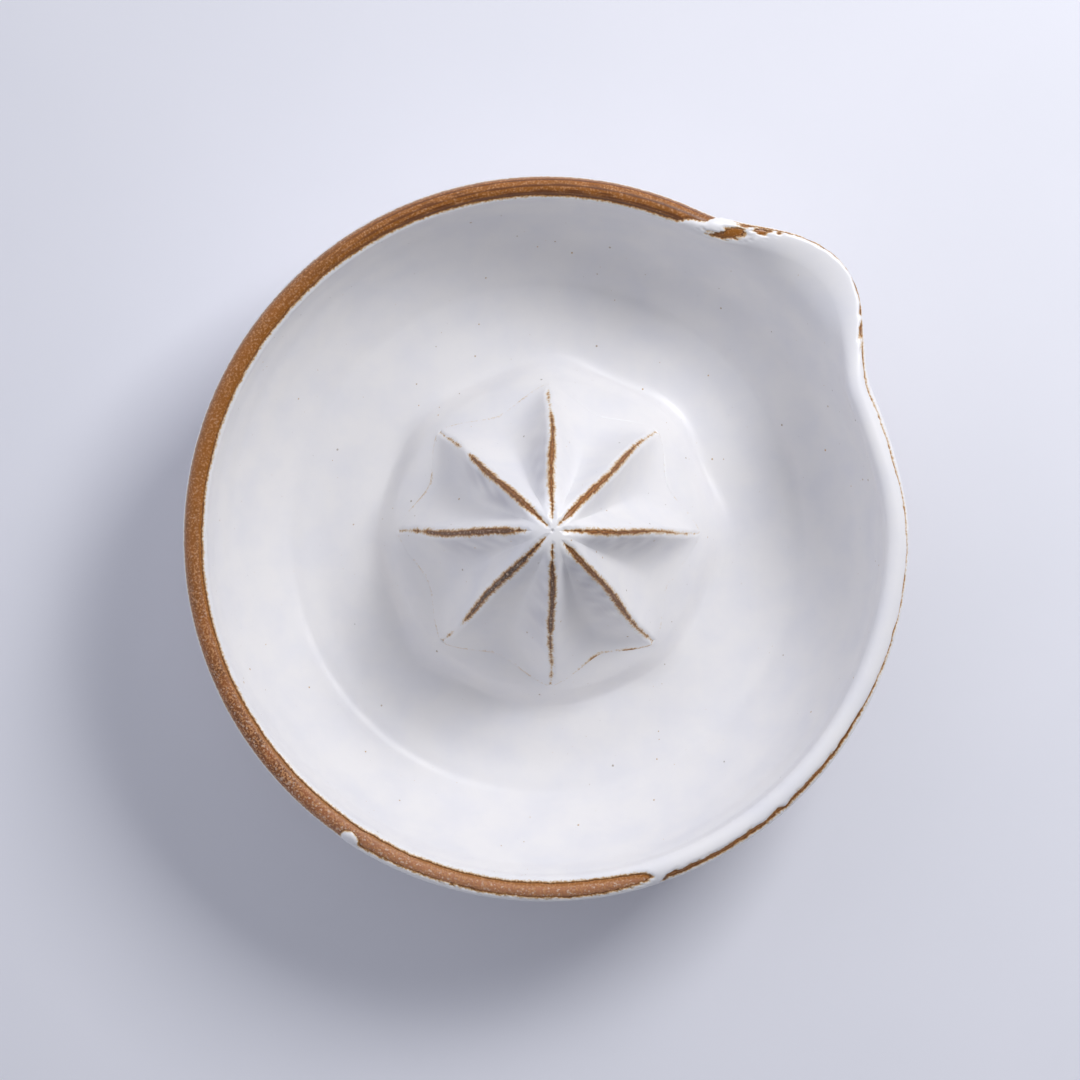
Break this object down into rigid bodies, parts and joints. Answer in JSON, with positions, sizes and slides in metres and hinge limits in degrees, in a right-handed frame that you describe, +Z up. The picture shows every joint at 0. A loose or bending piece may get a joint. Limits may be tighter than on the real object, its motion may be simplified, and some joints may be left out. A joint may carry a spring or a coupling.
{
  "type": "hand citrus juicer",
  "caption": "Hand citrus juicer: glazed stoneware bowl with a pulled pouring lip, a foot ring, and a hollow fluted reamer luted to its floor.",
  "frame": {"origin": "on the table under the bowl's axis, at the centre of the foot ring", "axes": "+Z up along the bowl's axis; the pouring lip points halfway between +X and +Y"},
  "size_m": [0.1516, 0.1516, 0.0598],
  "materials": {
    "bare_clay": "bare iron-brown stoneware, sandy matt",
    "white_glaze": "white satin glaze"
  },
  "bodies": {
    "root": {"bowl_body": "bare_clay", "foot_ring": "bare_clay", "reamer_cone": "bare_clay", "luting_coil": "bare_clay", "liner_glaze": "white_glaze", "reamer_glaze": "white_glaze", "outside_glaze": "white_glaze", "rim_glaze": "white_glaze"}
  },
  "joints": []
}
